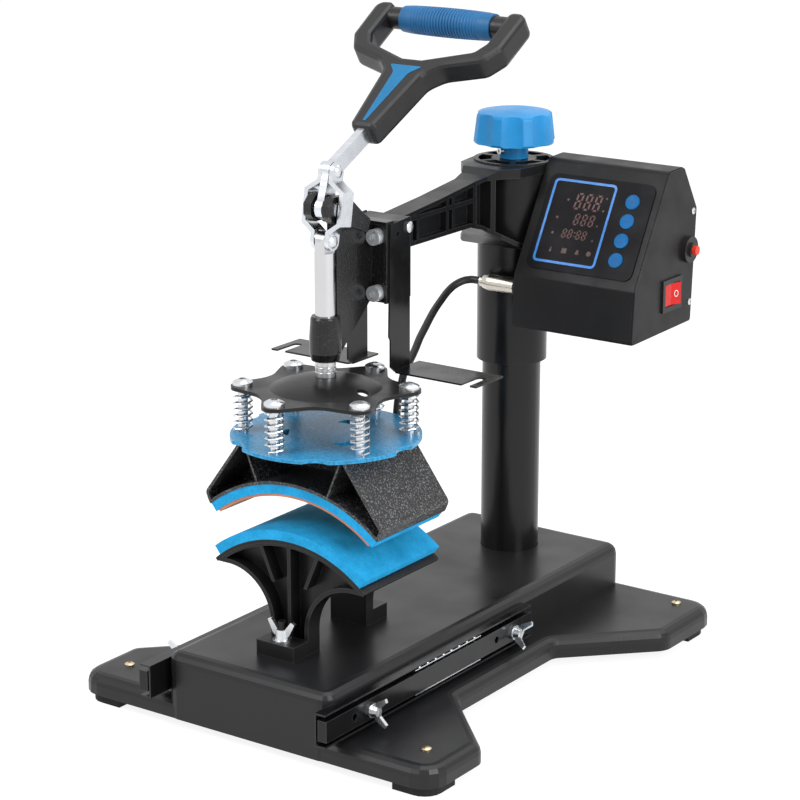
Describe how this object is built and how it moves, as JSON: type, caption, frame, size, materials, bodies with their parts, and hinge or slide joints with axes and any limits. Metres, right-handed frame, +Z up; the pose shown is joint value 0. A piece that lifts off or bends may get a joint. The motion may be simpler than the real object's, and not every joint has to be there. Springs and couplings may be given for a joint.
{
  "type": "cap heat press",
  "caption": "Swing-away cap heat press with a curved heated head over a curved stand, a toggle lever, a height knob, slide rails and a control box",
  "frame": {"origin": "on the table, under the middle of the machine's outline", "axes": "+X to the right seen from the operator's side, +Y to the back where the post stands, +Z up"},
  "size_m": [0.346, 0.452, 0.5406],
  "materials": {
    "black_paint": "satin",
    "black_cast": "hammertone",
    "blue_paint": "hammered",
    "rubber_black": "matt",
    "zinc": "zinc plated",
    "steel": "turned",
    "dark_steel": "blackened",
    "brass": "plain",
    "blue_plastic": "moulded",
    "black_plastic": "moulded",
    "gloss_black": "polished",
    "red_plastic": "moulded",
    "blue_foam": "silicone sponge",
    "silicone": "silicone",
    "board": "circuit board"
  },
  "bodies": {
    "base": {"base_shell": "black_paint", "rubber_feet": "rubber_black", "base_screws": "brass", "post_tube": "black_paint", "stand_studs": "dark_steel", "screw_nut": "brass", "rail_outer_left": "dark_steel", "rail_outer_right": "dark_steel", "stand_casting": "black_cast", "stand_pad": "blue_foam", "stand_wing_nuts": "zinc"},
    "lift_carriage": {"thrust_bearing": "steel"},
    "knob": {"lead_screw": "steel", "lift_knob": "blue_plastic", "knob_set_screw": "zinc"},
    "arm": {"arm_casting": "black_cast", "sleeve_tube": "black_paint", "plunger_guide": "black_cast", "guide_bolts": "zinc", "bracket_left": "black_paint", "bracket_right": "black_paint", "arm_screws": "zinc", "lever_pin": "zinc", "case_shell": "black_paint", "case_cover": "black_paint", "control_boards": "board", "display_panel": "gloss_black", "panel_fittings": "black_plastic", "cable_plug": "zinc", "head_cable": "rubber_black"},
    "lever": {"lever_bar": "zinc", "handle_yoke": "black_plastic", "handle_inlay": "blue_plastic", "grip_bar": "black_plastic", "grip_sleeve": "blue_plastic"},
    "links": {"link_left": "zinc", "link_right": "zinc", "link_rivets": "zinc"},
    "plunger": {"plunger_rod": "steel", "lock_nut": "steel", "star_plate": "black_paint"},
    "head": {"pressure_plate": "blue_paint", "head_springs": "zinc", "head_bolts": "zinc", "heater_housing": "black_cast", "foam_layer": "blue_foam", "heating_mat": "silicone", "cable_gland": "black_plastic"},
    "rail_left": {"rail_inner_left": "dark_steel", "wing_screws_left": "zinc"},
    "rail_right": {"rail_inner_right": "dark_steel", "wing_screws_right": "zinc"},
    "cage_left": {"ball_cage_left": "steel"},
    "cage_right": {"ball_cage_right": "steel"},
    "power_rocker": {"power_switch": "red_plastic"},
    "reset": {"reset_button": "red_plastic"},
    "key_1": {"key_1": "blue_plastic"},
    "key_2": {"key_2": "blue_plastic"},
    "key_3": {"key_3": "blue_plastic"},
    "key_4": {"key_4": "blue_plastic"}
  },
  "joints": [
    {"name": "arm_lift", "type": "slide", "parent": "base", "child": "lift_carriage", "axis": [0, 0, 1], "range_m": [0, 0.024]},
    {"name": "knob_turn", "type": "hinge", "parent": "lift_carriage", "child": "knob", "pos_m": [0, 0.164, 0.42], "axis": [0, 0, 1], "range_deg": [0, 2880]},
    {"name": "arm_swing", "type": "hinge", "parent": "lift_carriage", "child": "arm", "pos_m": [0, 0.164, 0.35], "axis": [0, 0, 1], "continuous": true},
    {"name": "lever_turn", "type": "hinge", "parent": "arm", "child": "lever", "pos_m": [0, -0.102, 0.407], "axis": [1, 0, 0], "range_deg": [0, 118]},
    {"name": "link_turn", "type": "hinge", "parent": "lever", "child": "links", "pos_m": [0, -0.09304, 0.43458], "axis": [1, 0, 0], "range_deg": [-76.09, 0]},
    {"name": "press_rod", "type": "slide", "parent": "arm", "child": "plunger", "axis": [0, 0, -1], "range_m": [0, 0.02511]},
    {"name": "head_float", "type": "slide", "parent": "plunger", "child": "head", "axis": [0, 0, 1], "range_m": [0, 0.005], "stiffness_N_per_m": 18000, "springref_m": -0.003, "deforming": ["head_springs"]},
    {"name": "rail_left_slide", "type": "slide", "parent": "base", "child": "rail_left", "axis": [0, -1, 0], "range_m": [0, 0.15]},
    {"name": "rail_right_slide", "type": "slide", "parent": "base", "child": "rail_right", "axis": [0, -1, 0], "range_m": [0, 0.15]},
    {"name": "cage_left_slide", "type": "slide", "parent": "base", "child": "cage_left", "axis": [0, -1, 0], "range_m": [0, 0.075]},
    {"name": "cage_right_slide", "type": "slide", "parent": "base", "child": "cage_right", "axis": [0, -1, 0], "range_m": [0, 0.075]},
    {"name": "power_rock", "type": "hinge", "parent": "arm", "child": "power_rocker", "pos_m": [0.146, 0.171, 0.3065], "axis": [0, 0, 1], "range_deg": [0, 16]},
    {"name": "reset_press", "type": "slide", "parent": "arm", "child": "reset", "axis": [-1, 0, 0], "range_m": [0, 0.003], "stiffness_N_per_m": 300, "springref_m": -0.001},
    {"name": "key_1_press", "type": "slide", "parent": "arm", "child": "key_1", "axis": [0, 0.8659, -0.5003], "range_m": [0, 0.0005], "stiffness_N_per_m": 600, "springref_m": -0.0005},
    {"name": "key_2_press", "type": "slide", "parent": "arm", "child": "key_2", "axis": [0, 0.8659, -0.5003], "range_m": [0, 0.0005], "stiffness_N_per_m": 600, "springref_m": -0.0005},
    {"name": "key_3_press", "type": "slide", "parent": "arm", "child": "key_3", "axis": [0, 0.8659, -0.5003], "range_m": [0, 0.0005], "stiffness_N_per_m": 600, "springref_m": -0.0005},
    {"name": "key_4_press", "type": "slide", "parent": "arm", "child": "key_4", "axis": [0, 0.8659, -0.5003], "range_m": [0, 0.0005], "stiffness_N_per_m": 600, "springref_m": -0.0005}
  ],
  "couplings": [
    {"joint": "knob_turn", "follows": "arm_lift", "rad_per_m": 2094.4},
    {"joint": "link_turn", "follows": "lever_turn", "ratio": -0.64486},
    {"joint": "press_rod", "follows": "lever_turn", "m_per_rad": 0.012193},
    {"joint": "cage_left_slide", "follows": "rail_left_slide", "ratio": 0.5},
    {"joint": "cage_right_slide", "follows": "rail_right_slide", "ratio": 0.5}
  ]
}
